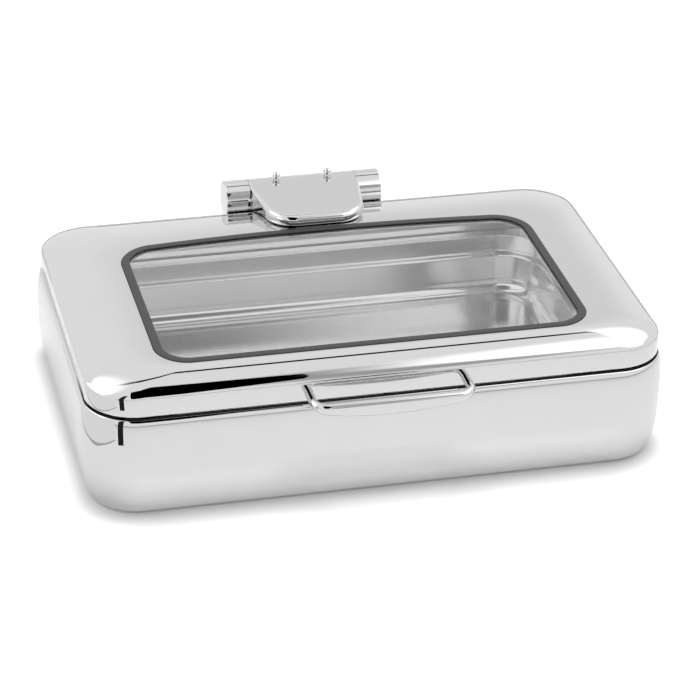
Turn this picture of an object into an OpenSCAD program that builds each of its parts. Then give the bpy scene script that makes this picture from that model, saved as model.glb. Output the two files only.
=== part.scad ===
// Induction chafing dish for one full-size food pan.
// Frame: X along the width, Y from front to rear, Z up from the table; millimetres.

/* [Base] */
// Width of the body at the seam between lid and base
body_w = 580; // [568:1:640]
// Depth of the body at the seam
body_d = 373; // [366:1:420]
// Plan corner radius at the seam
corner_r = 50; // [46:1:64]
// Height of the pan support frame's top face above the table
seam_z = 108; // [105:1:130]
// Sheet thickness of the base
base_wall = 1.2; // [0.8:0.1:2]
// How far the base swells out past the seam
bulge = 5.1; // [2:0.1:8]
// Height of the lower belly curve
belly_h = 56; // [40:1:64]
// Height of the upper shoulder curve
shoulder_h = 30; // [15:1:36]
// How far the foot steps in from the widest line
foot_in = 11.4; // [7:0.1:18]
// Width of the turned-in hem on top of the base
hem_w = 8; // [5:0.5:12]
// Thickness of the magnetic plate under the base
plate_t = 1.5; // [1:0.1:3]
// Distance of the plate's edge from the seam outline
plate_in = 26; // [20:1:60]

/* [Pan support frame] */
// Sheet thickness of the support frame
frame_t = 1.2; // [0.8:0.1:2]
// Distance of the frame's outer edge from the seam outline
frame_in = 0.4; // [0.2:0.1:2]
// Gap between the pan's rim and the well wall
well_gap = 2.5; // [1:0.1:4]
// Gap between the pan's wall and the ledge under its rim
ledge_gap = 2; // [1:0.1:3]
// Number of soft bumpers along the front and again along the rear
bumper_count = 3; // [2:1:5]
// Radius of a bumper
bumper_r = 3.2; // [2:0.1:4]
// Distance of the outer bumpers from the plan corners
bumper_in = 30; // [10:1:60]

/* [Food pan] */
// Width over the pan's rim
pan_w = 530; // [500:1:534]
// Depth over the pan's rim
pan_d = 325; // [300:1:329]
// Inside depth of the pan
pan_depth = 65; // [40:1:68]
// Sheet thickness of the pan
pan_wall = 0.9; // [0.6:0.1:1.2]
// Width of the flat rim
pan_flange = 12.5; // [11:0.5:15]
// Corner radius of the rim's outside
pan_r = 42; // [36:1:50]
// Corner radius inside the mouth
pan_mouth_r = 50; // [42:1:60]
// Height of the turned-down lip on the rim
pan_lip = 5; // [3:0.5:8]
// Edge bevel of the rim
rim_bevel = 1; // [0.5:0.1:2]
// Edge bevel of the mouth
mouth_bevel = 2; // [1:0.1:4]
// Depth of the rim below the frame's top face
pan_drop = 15.5; // [10:0.5:24]
// Depth of the stacking step below the rim
step_drop = 20; // [14:0.5:26]
// Width of the stacking step
step_w = 4.5; // [3:0.5:7]
// Drop of the stacking step across its width
step_fall = 2; // [1:0.1:4]
// Inward slope of the lower wall, from step to floor
pan_taper = 3; // [1:0.5:6]
// Radius between the wall and the floor
floor_r = 15; // [8:1:20]

/* [Lid] */
// Sheet thickness of the lid
lid_wall = 1; // [0.8:0.1:1.6]
// Gap between the lid and the frame when closed
lid_gap = 1.6; // [1:0.1:3]
// Height of the upright band round the lid
band_h = 18; // [14:0.5:24]
// Rise of the dome from the band to the window
dome_h = 19; // [16:0.5:30]
// Fullness of the dome curve, where 2 is an ellipse
dome_n = 1.82; // [1.6:0.02:2.6]
// Width of the turned-in lip under the lid
lip_w = 9; // [8:0.5:12]

/* [Window] */
// Width of the window opening
win_w = 437; // [400:1:450]
// Distance from the lid's front to the window
win_front = 32; // [28:1:60]
// Distance from the window's rear corners to the lid's rear
win_rear = 88.5; // [86:0.5:110]
// Radius of the front corners
win_rf = 35; // [25:1:50]
// Radius of the rear corners
win_rr = 40; // [25:1:50]
// How far the rear edge bows out
win_bow = 7.8; // [0:0.2:8]
// Depth of the lid's turned-down collar round the window
collar_h = 5; // [4:0.5:7]
// Width of the gasket band that shows
gasket_w = 8.5; // [6:0.5:12]
// Thickness of the glass
glass_t = 4; // [3:0.5:5]
// Thickness of each gasket lip over and under the glass
gasket_lip = 1.2; // [0.8:0.1:2]
// How far the gasket stands above the lid
gasket_up = 0.7; // [0.3:0.1:1]
// Width of the gasket's hook under the collar
hook_w = 3; // [2:0.1:4]
// Depth of the glass edge in the gasket
glass_grip = 5; // [4:0.5:6]
// Thickness of the retaining frame under the gasket
keeper_t = 1.2; // [0.8:0.1:2]
// Width of the retaining frame
keeper_w = 19; // [17:0.5:24]
// Number of studs along the front and again along the rear
stud_count = 4; // [3:1:6]
// Distance of a stud from the retaining frame's outer edge
stud_edge = 3.5; // [3:0.1:5]
// Distance of the outer studs from the window's front corners
stud_in = 10; // [5:1:30]

/* [Hinge] */
// Distance of the hinge axis behind the seam outline
hinge_back = 9.5; // [9:0.5:14]
// Height of the hinge axis above the frame's top face
hinge_up = 35.5; // [34:0.5:44]
// Radius of the hinge barrel
barrel_r = 19.5; // [18:0.5:21]
// Length over the two end caps
hinge_l = 170; // [150:1:190]
// Length of an end cap
cap_l = 8.6; // [8.4:0.1:11]
// Thickness of an end cap's face
cap_face = 2; // [1:0.1:2.4]
// Thickness of an end cap's round wall
cap_wall = 3; // [2:0.1:5]
// Edge bevel of an end cap
cap_bevel = 1.2; // [0.5:0.1:2]
// Length of a bracket sleeve
sleeve_l = 10.6; // [8:0.1:14]
// Length of a friction ring
ring_l = 7.1; // [5:0.1:10]
// Radius of the hinge shaft
shaft_r = 5; // [4:0.1:6]
// Thickness of a disc spring
spring_t = 1.2; // [0.8:0.1:1.6]
// Radius of a disc spring
spring_r = 10; // [8:0.5:14]
// Height of a lock nut
lock_nut_h = 4; // [3:0.1:4.4]
// Corner radius of a lock nut
lock_nut_r = 9; // [7:0.5:12]
// Radius of the through bore in the knuckle
bore_r = 13; // [11:0.1:14]
// Length of a bearing plug
plug_l = 15; // [10:0.5:15]
// Thickness of a bearing plug's outer end, behind the counterbore for the damper
plug_web = 4; // [3:0.1:4.4]
// Length of the damper cartridge over its two spigots
damper_l = 88; // [76:1:100]
// Length of a damper spigot, which slides in a plug's counterbore
spigot_l = 11; // [9:0.5:12]
// Radius of a damper spigot
spigot_r = 9; // [7:0.1:10]
// Gap between the barrel and the pocket in the lid
pocket_gap = 1.1; // [0.8:0.1:2]
// Gap between an end cap and the end of that pocket
pocket_end = 2.7; // [1:0.1:6]
// Run of the pocket's end walls across the width
pocket_side = 2.2; // [1:0.1:4]

/* [Bracket] */
// Thickness of the bracket plate
bracket_t = 3; // [2:0.1:4]
// Height of the bracket's lower edge above the table
bracket_z = 46; // [40:1:56]
// Height of the bracket's cross bar
bracket_h = 30; // [24:1:34]
// Gap between a wide arm and the turning barrel above it
arm_gap = 3; // [2:0.1:6]
// Spacing of the bracket studs across the width
stud_dx = 120; // [100:1:140]
// Spacing of the bracket studs in height
stud_dz = 16; // [14:1:18]

/* [Tongue] */
// Distance from the window's rear edge to the tongue's foot
tongue_gap = 6.2; // [6:0.1:12]
// Height of the nose above the lid
tongue_h = 13.5; // [11:0.5:16]
// Width of the tongue behind the nose corners
tongue_w = 107; // [96:1:114]
// Corner radius of the nose in plan
nose_r = 30; // [20:1:40]
// Upper edge radius at the nose
edge_r = 6; // [3:0.5:6.5]
// Upper edge radius at the barrel
edge_rear = 2; // [1:0.5:4]
// Lower edge radius at the nose
foot_r = 6; // [1:0.5:6.5]
// Wall thickness of the hollow tongue
tongue_wall = 4; // [3:0.5:6]
// Distance in front of the barrel where the tongue leaves the lid
heel_gap = 5; // [3:0.5:10]
// Distance of the tongue's screws from its sides
screw_side = 14; // [12:0.5:18]
// Distance of the front screws from the nose
screw_front = 18; // [14:0.5:24]
// Distance from the front screws to the rear ones
screw_pitch = 33; // [24:0.5:36]
// Radius of a screw boss in the tongue
boss_r = 5.5; // [4:0.1:6]
// Thickness of the plate inside the lid under the tongue
backing_t = 2; // [1:0.1:3]
// Distance from a tongue screw to that plate's edge
backing_edge = 8; // [6:0.5:12]
// Distance of a dome screw from the middle
dome_x = 28; // [20:1:34]
// Distance of the dome screws in front of the hinge axis
dome_y = 2; // [0:0.5:6]
// Radius of a dome screw's ball
dome_r = 4.2; // [3:0.1:5]
// Radius of a dome screw's shank
dome_shank_r = 2; // [1.5:0.1:2.5]
// How deep a dome screw bites into the damper
dome_bite = 3; // [1:0.1:5]

/* [Handle] */
// Width between the middles of the handle's legs
handle_w = 156.5; // [120:0.5:200]
// Distance of the grip's middle from the lid
handle_out = 28.5; // [26:0.5:40]
// Height of the handle above the lid's lower edge
handle_up = 6.5; // [5.5:0.5:9]
// Radius of the handle rod
rod_r = 4.5; // [4:0.1:5.5]
// Bend radius of the rod's middle line
bend_r = 13; // [10:0.5:18]

/* [Fasteners] */
// Radius of the screws in the handle and the tongue
screw_r = 2.45; // [2:0.05:3]
// Radius of a screw head
head_r = 4.5; // [3.5:0.1:5]
// Height of a screw head
head_h = 3; // [2:0.1:4]
// How deep a screw bites
screw_bite = 9; // [6:0.5:10]
// Radius of a handle washer
washer_r = 5.5; // [4.5:0.1:6]
// Thickness of a handle washer
washer_t = 1; // [0.6:0.1:2]
// Radius of a weld stud for the retaining frame
stud_r = 1.5; // [1:0.1:2]
// Corner radius of a nut on those studs
stud_nut_r = 3; // [2.5:0.1:4]
// Height of a nut on those studs
stud_nut_h = 2.4; // [1.6:0.1:3]
// Radius of a weld stud for the bracket
post_r = 2.5; // [2:0.1:3]
// Length of a weld stud for the bracket
post_l = 8; // [7:0.1:9]
// Corner radius of a cap nut
cap_nut_r = 4.6; // [4:0.1:6]
// Height of a cap nut's hexagon
cap_nut_h = 4; // [3:0.1:5]
// Radius of a cap nut's dome
cap_nut_dome = 3.9; // [3.4:0.1:4.5]

/* [Fits] */
// Radial clearance of turning parts
run_fit = 0.04; // [0.02:0.01:0.08]
// Clearance between pieces that are seated on each other
seat_fit = 0.1; // [0.05:0.05:0.3]
// Clearance between pieces that follow the lid's curve
curve_fit = 0.35; // [0.3:0.05:0.6]
// Axial play between turning and fixed rings
axial_fit = 0.25; // [0.2:0.05:0.4]
// Radial clearance of a screw in a plain hole
hole_fit = 0.3; // [0.2:0.05:0.6]

/* [Hidden] */
$fn = 48;

polished = "#dfe1e4";
satin = "#b9bcc0";
dark = "#3a3c3f";
bronze = "#b08d57";
clear = "#cfd8da";

// Steps per quarter turn of a plan corner, a dome curve, a belly curve and an edge radius
corner_steps = 9;
dome_steps = 12;
belly_steps = 8;
edge_steps = 4;
// Steps along the tongue's seat on the lid
seat_steps = 10;
// Angle below the hinge axis at which the tongue's underside meets the barrel
heel_angle = 22.5;
// How far a cut runs past the face that it opens
past = 1;

// Heights that follow from the sizes above
foot_z = plate_t;
shell_top = seam_z - frame_t;
lid_z = seam_z + lid_gap;
band_z = lid_z + band_h;
lid_top = band_z + dome_h;
rim_z = seam_z - pan_drop;
ledge_z = rim_z - pan_lip;
floor_z = rim_z - pan_depth;

// Window edges, and heights of the pieces in the window from the gasket's top down
win_y0 = win_front - body_d / 2;
win_y1 = body_d / 2 - win_rear;
win_side = win_w / 2 - win_rr;
gasket_top = lid_top + gasket_up;
glass_z = gasket_top - gasket_lip - seat_fit - glass_t;
gasket_z = glass_z - seat_fit - gasket_lip;
hook_z = lid_top - collar_h - seat_fit;
keeper_z = gasket_z - keeper_t;

// Hinge places
hinge_y = body_d / 2 + hinge_back;
hinge_z = seam_z + hinge_up;
cap_x = hinge_l / 2 - cap_l;
sleeve_x = cap_x - sleeve_l;
ring_x = sleeve_x - ring_l;
knuckle_l = 2 * (ring_x - axial_fit);
pocket_x = hinge_l / 2 + pocket_end;
pocket_r = barrel_r + pocket_gap;
barrel_top = hinge_z + barrel_r;

// Tongue places, with its screws as distances from the middle and places along Y
tongue_y = win_y1 + win_bow + tongue_gap - foot_r;
tongue_z = lid_top + tongue_h;
tongue_screw_x = tongue_w / 2 - screw_side;
tongue_screw_y = [tongue_y + screw_front, tongue_y + screw_front + screw_pitch];

// Handle and bracket places
handle_z = lid_z + handle_up;
handle_y = -body_d / 2 - handle_out;
bracket_y = body_d / 2 + bulge + seat_fit;
stud_z = bracket_z + bracket_h / 2;

// Points of an arc, both ends included
function arc_pts(c, r, a0, a1, n) =
    [for (i = [0:n]) let (a = a0 + (a1 - a0) * i / n) c + r * [cos(a), sin(a)]];

// Outline of a rounded rectangle, counter-clockwise from the right
function rounded_rect(w, d, r, n = corner_steps) = let (x = w / 2 - r, y = d / 2 - r) concat(
    arc_pts([x, y], r, 0, 90, n), arc_pts([-x, y], r, 90, 180, n),
    arc_pts([-x, -y], r, 180, 270, n), arc_pts([x, -y], r, 270, 360, n));

function at_height(outline, z) = [for (p = outline) [p[0], p[1], z]];

// Outline of the body, set in from the seam
function body_outline(inset) =
    rounded_rect(body_w - 2 * inset, body_d - 2 * inset, corner_r - inset);

// Outlines round the food pan's rim and round its mouth, grown outwards
function rim_outline(grow) = rounded_rect(pan_w + 2 * grow, pan_d + 2 * grow, pan_r + grow);
function mouth_outline(grow) = rounded_rect(pan_w - 2 * pan_flange + 2 * grow,
    pan_d - 2 * pan_flange + 2 * grow, pan_mouth_r + grow);

// Places along X where the lid's rear edge has points: the hinge pocket's edges are among them
rear_half = [pocket_x + 0.7 * (win_side - pocket_x), pocket_x + 0.35 * (win_side - pocket_x),
    pocket_x + pocket_side, pocket_x, pocket_x * 2 / 3, pocket_x / 3];
rear_xs = concat(rear_half, [0], [for (i = [len(rear_half) - 1:-1:0]) -rear_half[i]]);

// The rim's points spread out beyond the hinge pocket, to reach its own corners
function spread(x) = let (edge = pocket_x + pocket_side, rim = body_w / 2 - corner_r)
    abs(x) <= edge ? x : sign(x) * (edge + (abs(x) - edge) * (rim - edge) / (win_side - edge));

// Outlines of the lid's rim and of its window with matching points
function lid_rim(inset) = let (x = body_w / 2 - corner_r, y = body_d / 2 - corner_r,
    r = corner_r - inset) concat(
    arc_pts([x, y], r, 0, 90, corner_steps), [for (v = rear_xs) [spread(v), y + r]],
    arc_pts([-x, y], r, 90, 180, corner_steps), arc_pts([-x, -y], r, 180, 270, corner_steps),
    arc_pts([x, -y], r, 270, 360, corner_steps));
function bow(x) = win_bow * (1 - pow(x / win_side, 2));
function win_outline(grow) = let (xf = win_w / 2 - win_rf, yf = win_y0 + win_rf, yr = win_y1 - win_rr,
    rr = win_rr + grow, rf = win_rf + grow) concat(
    arc_pts([win_side, yr], rr, 0, 90, corner_steps), [for (v = rear_xs) [v, yr + rr + bow(v)]],
    arc_pts([-win_side, yr], rr, 90, 180, corner_steps), arc_pts([-xf, yf], rf, 180, 270, corner_steps),
    arc_pts([xf, yf], rf, 270, 360, corner_steps));

// A point that lies inside the hinge pocket is moved out to the pocket's round wall
function pocketed(p, r) = let (v = [p[1] - hinge_y, p[2] - hinge_z], d = norm(v))
    abs(p[0]) < pocket_x + pocket_side / 2 && d < r
    ? [p[0], hinge_y + v[0] * r / d, hinge_z + v[1] * r / d] : p;

// One ring of the lid's dome: a is 0 at the band and 90 at the window, inside is the sheet's depth
function dome_ring(a, inside) = let (rim = lid_rim(inside), win = win_outline(inside),
    out = pow(cos(a), 2 / dome_n), up = pow(sin(a), 2 / dome_n)) [for (i = [0:len(rim) - 1])
    let (p = win[i] + (rim[i] - win[i]) * out)
    pocketed([p[0], p[1], band_z + (lid_top - inside - band_z) * up], pocket_r + inside)];

// Height of the dome at a share of the way from the window to the rim, and on the middle line at y
function dome_at(share, inside) = let (s = min(1, max(0, share)))
    band_z + (lid_top - inside - band_z) * pow(1 - pow(s, dome_n), 1 / dome_n);
function dome_z(y, inside) = let (y0 = win_y1 + win_bow + inside, y1 = body_d / 2 - inside)
    dome_at((y - y0) / (y1 - y0), inside);

// Rings of the base: the belly below, the shoulder above
function belly_ring(a, inside) = at_height(body_outline(foot_in * (1 - cos(a)) - bulge + inside),
    foot_z + inside + (belly_h - inside) * (1 - sin(a)));
function shoulder_ring(a, inside) = at_height(body_outline(inside - bulge * cos(a)),
    shell_top - inside - (shoulder_h - inside) * (1 - sin(a)));

// A solid skinned over rings with matching points; a closed one joins its last ring to its first
module skin(rings, closed = false) {
    n = len(rings[0]);
    m = len(rings);
    walls = [for (i = [0:closed ? m - 1 : m - 2], j = [0:n - 1])
        let (a = i * n, b = ((i + 1) % m) * n, k = (j + 1) % n)
        each [[a + j, b + j, b + k], [a + j, b + k, a + k]]];
    ends = closed ? [] : [[for (j = [0:n - 1]) j], [for (j = [n - 1:-1:0]) (m - 1) * n + j]];
    polyhedron([for (r = rings) each r], concat(walls, ends));
}

// A flat ring between two outlines
module ring_plate(outer, inner, z, h) {
    translate([0, 0, z]) linear_extrude(h) difference() {
        polygon(outer);
        polygon(inner);
    }
}

// A cylinder along X, centred on the hinge axis, from x to x + l
module on_axis(x, l, r, sides = $fn) {
    translate([x, hinge_y, hinge_z]) rotate([0, 90, 0]) cylinder(r = r, h = l, $fn = sides);
}

// A profile in the YZ plane, drawn along X over a width
module along_x(profile, w) {
    translate([-w / 2, 0, 0]) rotate([90, 0, 90]) linear_extrude(w) polygon(profile);
}

// Both ends of the hinge, or one of them
module at_sides(sides = [-1, 1]) {
    for (s = sides) mirror([s < 0 ? 1 : 0, 0, 0]) children();
}

// Base

module base_shell() {
    quarter = [for (i = [0:belly_steps]) 90 * i / belly_steps];
    back = [for (i = [belly_steps:-1:0]) quarter[i]];
    outer = concat([for (a = back) belly_ring(a, 0)], [for (a = quarter) shoulder_ring(a, 0)]);
    hem = [at_height(body_outline(hem_w), shell_top), at_height(body_outline(hem_w), shell_top - base_wall)];
    inner = concat([for (a = back) shoulder_ring(a, base_wall)], [for (a = quarter) belly_ring(a, base_wall)]);
    color(polished) skin(concat(outer, hem, inner));
}

module induction_plate() {
    color(satin) linear_extrude(plate_t) polygon(body_outline(plate_in));
}

// The frame hangs in the base: a flange on the hem, a well and a ledge for the pan's lip
module support_frame() {
    well = rim_outline(well_gap);
    well_outside = rim_outline(well_gap + frame_t);
    color(satin) {
        ring_plate(body_outline(frame_in), well, shell_top, frame_t);
        ring_plate(well_outside, well, ledge_z - frame_t, seam_z - ledge_z);
        ring_plate(well_outside, mouth_outline(pan_wall + ledge_gap), ledge_z - frame_t, frame_t);
    }
}

module lid_bumpers() {
    span = body_w - 2 * (corner_r + bumper_in);
    color(dark) for (i = [0:bumper_count - 1], s = [-1, 1])
        translate([span * (i / (bumper_count - 1) - 0.5), s * (body_d / 2 - lip_w / 2), seam_z])
            cylinder(r = bumper_r, h = lid_gap - seat_fit);
}

// Food pan

function pan_ring(set_in, z) = at_height(mouth_outline(-set_in), z);

// One face of the pan's sheet from the floor up to the rim: out is 0 inside and the wall outside
function pan_face(out) = let (step_z = rim_z - step_drop, low_in = step_w + pan_taper, r = floor_r + out) concat(
    [for (i = [belly_steps:-1:0]) let (a = 90 * i / belly_steps)
        pan_ring(low_in + floor_r - r * cos(a), floor_z + pan_wall + floor_r - r * sin(a))],
    [pan_ring(step_w - out, step_z - step_fall - out), pan_ring(-out, step_z - out),
        pan_ring(-out, rim_z - mouth_bevel - out / 2),
        pan_ring(-(mouth_bevel + out) / 2, rim_z - out)]);

module food_pan() {
    inside = pan_face(0);
    lip = [at_height(rim_outline(-pan_wall), rim_z - pan_wall), at_height(rim_outline(-pan_wall), ledge_z),
        at_height(rim_outline(0), ledge_z), at_height(rim_outline(0), rim_z - rim_bevel),
        at_height(rim_outline(-rim_bevel), rim_z)];
    color(satin) skin(concat(pan_face(pan_wall), lip, [for (i = [len(inside) - 1:-1:0]) inside[i]]));
}

// Lid

module lid_shell() {
    angles = [for (i = [0:dome_steps]) 90 * i / dome_steps];
    band = [lid_z, lid_z + band_h / 2, band_z - band_h / 4];
    outer = concat([for (z = band) at_height(lid_rim(0), z)], [for (a = angles) dome_ring(a, 0)]);
    collar = [at_height(win_outline(0), lid_top - collar_h),
        at_height(win_outline(lid_wall), lid_top - collar_h)];
    inner = [for (i = [dome_steps:-1:0]) dome_ring(angles[i], lid_wall)];
    lip = [at_height(lid_rim(lid_wall), band[2]), at_height(lid_rim(lid_wall), lid_z + lid_wall),
        at_height(lid_rim(lip_w), lid_z + lid_wall), at_height(lid_rim(lip_w), lid_z)];
    color(polished) difference() {
        skin(concat(outer, collar, inner, lip), true);
        tongue_screw_places() translate([0, 0, lid_z]) cylinder(r = screw_r + hole_fit, h = band_h + dome_h);
        handle_screw_places() translate([0, 0, -lip_w]) cylinder(r = screw_r + hole_fit, h = 2 * lip_w);
    }
}

// Window: the gasket grips the glass and hooks under the lid's collar

module window_gasket() {
    inner = win_outline(-gasket_w);
    color(dark) difference() {
        union() {
            ring_plate(win_outline(-seat_fit), inner, gasket_z, gasket_top - gasket_z);
            ring_plate(win_outline(hook_w), inner, gasket_z, hook_z - gasket_z);
        }
        translate([0, 0, glass_z - seat_fit]) linear_extrude(glass_t + 2 * seat_fit)
            polygon(win_outline(glass_grip - gasket_w + seat_fit));
    }
}

module glass_pane() {
    color(clear, 0.35) translate([0, 0, glass_z]) linear_extrude(glass_t)
        polygon(win_outline(glass_grip - gasket_w));
}

// Studs under the lid, outside the window along its front and rear: place, and height of the lid there
stud_out = keeper_w - gasket_w - stud_edge;
stud_spots = [for (i = [0:stud_count - 1], rear = [0, 1])
    let (x = (win_w - 2 * (win_rf + stud_in)) * (i / (stud_count - 1) - 0.5),
        edge = rear ? win_y1 + bow(x) : win_y0,
        run = body_d / 2 - abs(edge),
        share = (stud_out + stud_r - lid_wall) / (run - 2 * lid_wall))
    [x, edge + (rear ? stud_out : -stud_out), dome_at(share, lid_wall) - curve_fit]];

module window_keeper() {
    color(satin) difference() {
        ring_plate(win_outline(keeper_w - gasket_w), win_outline(-gasket_w), keeper_z, keeper_t);
        for (p = stud_spots) translate([p[0], p[1], keeper_z - past])
            cylinder(r = stud_r + hole_fit, h = keeper_t + 2 * past);
    }
}

module keeper_studs() {
    low = keeper_z - stud_nut_h;
    color(satin) for (p = stud_spots) translate([p[0], p[1], low]) cylinder(r = stud_r, h = p[2] - low);
}

module keeper_nuts() {
    color(satin) for (p = stud_spots) translate([p[0], p[1], keeper_z - stud_nut_h]) difference() {
        cylinder(r = stud_nut_r, h = stud_nut_h, $fn = 6);
        translate([0, 0, -past]) cylinder(r = stud_r + run_fit, h = stud_nut_h + 2 * past);
    }
}

// Handle: one bent rod, held by a screw through the lid's band into each leg

module handle_screw_places() {
    at_sides() translate([handle_w / 2, -body_d / 2, handle_z]) rotate([90, 0, 0]) children();
}

module handle() {
    color(polished) difference() {
        translate([0, 0, handle_z]) {
            translate([bend_r - handle_w / 2, handle_y, 0]) rotate([0, 90, 0])
                cylinder(r = rod_r, h = handle_w - 2 * bend_r);
            at_sides() {
                translate([handle_w / 2 - bend_r, handle_y + bend_r, 0]) rotate([0, 0, 270])
                    rotate_extrude(angle = 90) translate([bend_r, 0]) circle(r = rod_r);
                translate([handle_w / 2, -body_d / 2 - seat_fit, 0]) rotate([90, 0, 0])
                    cylinder(r = rod_r, h = handle_out - bend_r - seat_fit);
            }
        }
        handle_screw_places() cylinder(r = screw_r + run_fit, h = screw_bite + past);
    }
}

module handle_washers() {
    color(satin) handle_screw_places() translate([0, 0, -lid_wall - washer_t - seat_fit]) difference() {
        cylinder(r = washer_r, h = washer_t);
        translate([0, 0, -past]) cylinder(r = screw_r + hole_fit, h = washer_t + 2 * past);
    }
}

module handle_screws() {
    under = lid_wall + washer_t + 2 * seat_fit;
    color(satin) handle_screw_places() {
        translate([0, 0, -under - head_h]) cylinder(r = head_r, h = head_h);
        translate([0, 0, -under - head_h / 2]) cylinder(r = screw_r, h = under + head_h / 2 + screw_bite);
    }
}

// Hinge, fixed side

module bracket_stud_places() {
    for (x = [-stud_dx / 2, stud_dx / 2], z = [stud_z - stud_dz / 2, stud_z + stud_dz / 2])
        translate([x, bracket_y - seat_fit, z]) rotate([-90, 0, 0]) children();
}

// A plate on the base's rear with two arms, each welded to a sleeve round the shaft
module hinge_bracket() {
    color(polished) difference() {
        union() {
            translate([-cap_x, bracket_y, bracket_z]) cube([2 * cap_x, bracket_t, bracket_h]);
            at_sides() {
                translate([ring_x, bracket_y, bracket_z])
                    cube([cap_x - ring_x, bracket_t, hinge_z - barrel_r - arm_gap - bracket_z]);
                translate([sleeve_x, bracket_y, bracket_z])
                    cube([sleeve_l, bracket_t, hinge_z - bracket_z]);
                on_axis(sleeve_x, sleeve_l, barrel_r);
            }
        }
        on_axis(-hinge_l, 2 * hinge_l, shaft_r + run_fit);
        bracket_stud_places() cylinder(r = post_r + hole_fit, h = bracket_t + seat_fit + past);
    }
}

module bracket_studs() {
    color(satin) bracket_stud_places() cylinder(r = post_r, h = post_l);
}

// Cap nuts on the bracket studs
module bracket_nuts() {
    start = bracket_t + 2 * seat_fit;
    color(polished) bracket_stud_places() translate([0, 0, start]) difference() {
        union() {
            cylinder(r = cap_nut_r, h = cap_nut_h, $fn = 6);
            intersection() {
                translate([0, 0, cap_nut_h - past]) sphere(r = cap_nut_dome);
                translate([0, 0, cap_nut_h / 2]) cylinder(r = cap_nut_r, h = 2 * cap_nut_dome);
            }
        }
        translate([0, 0, -past]) cylinder(r = post_r + run_fit, h = post_l - start + seat_fit + past);
    }
}

module hinge_shaft() {
    end = cap_x + spring_t + lock_nut_h;
    color(satin) on_axis(-end, 2 * end, shaft_r);
}

module friction_ring(side) {
    color(polished) at_sides([side]) difference() {
        on_axis(ring_x, ring_l, barrel_r);
        on_axis(0, hinge_l, shaft_r + run_fit);
    }
}

// A cup over the nut and the disc spring, with a bevelled outer edge
module end_cap(side) {
    inside_r = barrel_r - cap_wall;
    color(polished) at_sides([side]) translate([cap_x, hinge_y, hinge_z]) rotate([0, 90, 0]) rotate_extrude()
        polygon([[inside_r, 0], [barrel_r, 0], [barrel_r, cap_l - cap_bevel], [barrel_r - cap_bevel, cap_l],
            [0, cap_l], [0, cap_l - cap_face], [inside_r, cap_l - cap_face]]);
}

module disc_springs() {
    color(satin) at_sides() difference() {
        on_axis(cap_x, spring_t, spring_r);
        on_axis(0, hinge_l, shaft_r + run_fit);
    }
}

module lock_nuts() {
    color(satin) at_sides() difference() {
        on_axis(cap_x + spring_t, lock_nut_h, lock_nut_r, 6);
        on_axis(0, hinge_l, shaft_r + run_fit);
    }
}

// Hinge, side that turns with the lid

module tongue_screw_places() {
    for (x = [-tongue_screw_x, tongue_screw_x], y = tongue_screw_y) translate([x, y, 0]) children();
}

// Plan of the tongue: round corners at the nose, then sides that widen to the barrel
function tongue_plan(inset) = let (w = tongue_w / 2 - inset, k = knuckle_l / 2 - inset, r = nose_r - inset,
    rear = [hinge_y + past, hinge_y - barrel_r]) concat(
    [for (y = [rear[1], rear[0]]) [k, y]], [for (y = rear) [-k, y]],
    arc_pts([r - w, tongue_y + nose_r], r, 180, 270, corner_steps),
    arc_pts([w - r, tongue_y + nose_r], r, 270, 360, corner_steps));

// Top plane of the tongue, which runs into the barrel just under its top
function tongue_top(y) = tongue_z
    + (barrel_top - seat_fit / 2 - tongue_z) * (y - tongue_y) / (hinge_y - tongue_y);

// Share of an edge radius: all of it round the nose, none of it at the barrel
function nose_share(y) = let (from = tongue_y + nose_r)
    1 - min(1, max(0, (y - from) / (hinge_y - barrel_r - from)));

// Rings of the tongue's rounded edges: a is 0 at the widest line and 90 on the top or at the foot
function edge_ring(a) = let (p = tongue_plan(0), q = tongue_plan(1)) [for (i = [0:len(p) - 1])
    let (e = edge_rear + (edge_r - edge_rear) * nose_share(p[i][1]), at = p[i] + (q[i] - p[i]) * e * (1 - cos(a)))
    [at[0], at[1], tongue_top(at[1]) - e * (1 - sin(a))]];
function foot_ring(a) = let (p = tongue_plan(0), q = tongue_plan(1)) [for (i = [0:len(p) - 1])
    let (f = foot_r * nose_share(p[i][1]), at = p[i] + (q[i] - p[i]) * f * (1 - cos(a)))
    [at[0], at[1], dome_z(p[i][1], 0) + 2 * curve_fit + f * (1 - sin(a))]];

// Side of the tongue under a top line that is lowered by drop: the seat on the lid, then the barrel
function tongue_side(drop) = let (from = tongue_y - past, to = hinge_y - barrel_r - heel_gap,
    r = barrel_r - seat_fit) concat(
    [for (i = [0:seat_steps]) let (y = from + (to - from) * i / seat_steps) [y, dome_z(y, 0) + curve_fit]],
    [[hinge_y - r * cos(heel_angle), hinge_z - r * sin(heel_angle)], [hinge_y, hinge_z],
        [hinge_y, tongue_top(hinge_y) - drop], [from, tongue_top(from) - drop]]);

module tongue_body() {
    steps = [for (i = [0:edge_steps]) 90 * i / edge_steps];
    foot = [for (i = [edge_steps:-1:0]) foot_ring(steps[i])];
    intersection() {
        along_x(tongue_side(-past), knuckle_l + 2 * past);
        skin(concat([[for (p = foot[0]) [p[0], p[1], lid_z]]], foot, [for (a = steps) edge_ring(a)]));
    }
}

// Hollow of the tongue, open to the lid, with a boss left standing round each screw
module tongue_hollow() {
    difference() {
        intersection() {
            translate([0, 0, -curve_fit - past]) along_x(tongue_side(tongue_wall), knuckle_l);
            linear_extrude(barrel_top) polygon(tongue_plan(foot_r + tongue_wall));
        }
        tongue_screw_places() cylinder(r = boss_r, h = barrel_top);
    }
}

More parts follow.
